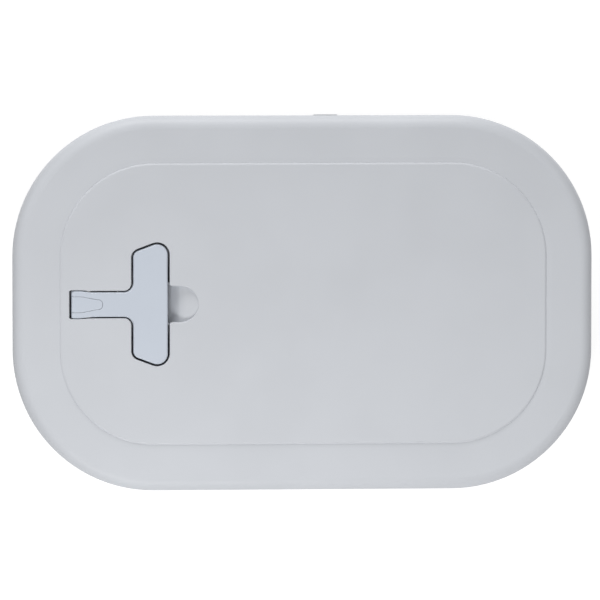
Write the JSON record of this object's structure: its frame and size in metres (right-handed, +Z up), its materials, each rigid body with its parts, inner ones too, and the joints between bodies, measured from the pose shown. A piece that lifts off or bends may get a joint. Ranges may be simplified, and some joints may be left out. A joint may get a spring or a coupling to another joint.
{
  "type": "hinged access hatch",
  "caption": "Rounded rectangular deck hatch: raised-panel lid hinged on a coaming frame, flush T handle in a recess with finger scoop, sprung hook latch and rubber gasket.",
  "frame": {"origin": "centre of the deck screw pattern, on the deck plane under the flange", "axes": "+Z up out of the deck, +X along the hatch from the latch end to the hinge end, +Y across it"},
  "size_m": [0.44, 0.2845, 0.054],
  "materials": {
    "lid_plastic": "fine grained matt moulding, pale grey",
    "frame_plastic": "matt moulding, pale grey",
    "handle_plastic": "smooth satin moulding, pale blue grey",
    "bush_plastic": "plain bearing plastic, off white",
    "rubber_black": "black seal rubber",
    "stainless_steel": "brushed stainless"
  },
  "bodies": {
    "frame": {"frame": "frame_plastic", "strike_plate": "stainless_steel", "strike_plate_screws": "stainless_steel", "hinge_pin": "stainless_steel"},
    "lid": {"lid": "lid_plastic", "lid_gasket": "rubber_black", "shaft_bush_front": "bush_plastic", "shaft_bush_back": "bush_plastic", "shaft_seal_front": "rubber_black", "shaft_seal_back": "rubber_black", "latch_spring": "stainless_steel"},
    "handle": {"handle": "handle_plastic", "pivot_cap": "handle_plastic", "handle_screw": "stainless_steel", "handle_shaft": "stainless_steel", "shaft_spacer": "bush_plastic", "latch_hook_front": "stainless_steel", "latch_hook_back": "stainless_steel", "shaft_clip_front": "stainless_steel", "shaft_clip_back": "stainless_steel"}
  },
  "joints": [
    {"name": "lid_hinge", "type": "hinge", "parent": "frame", "child": "lid", "pos_m": [0.2148, 0, 0.0105], "axis": [0, 1, 0], "range_deg": [0, 100]},
    {"name": "handle_lift", "type": "hinge", "parent": "lid", "child": "handle", "pos_m": [-0.1631, 0, 0.0165], "axis": [0, -1, 0], "range_deg": [0, 90], "stiffness_Nm_per_rad": 0.02, "springref_deg": -34.38, "deforming": ["latch_spring"]}
  ]
}
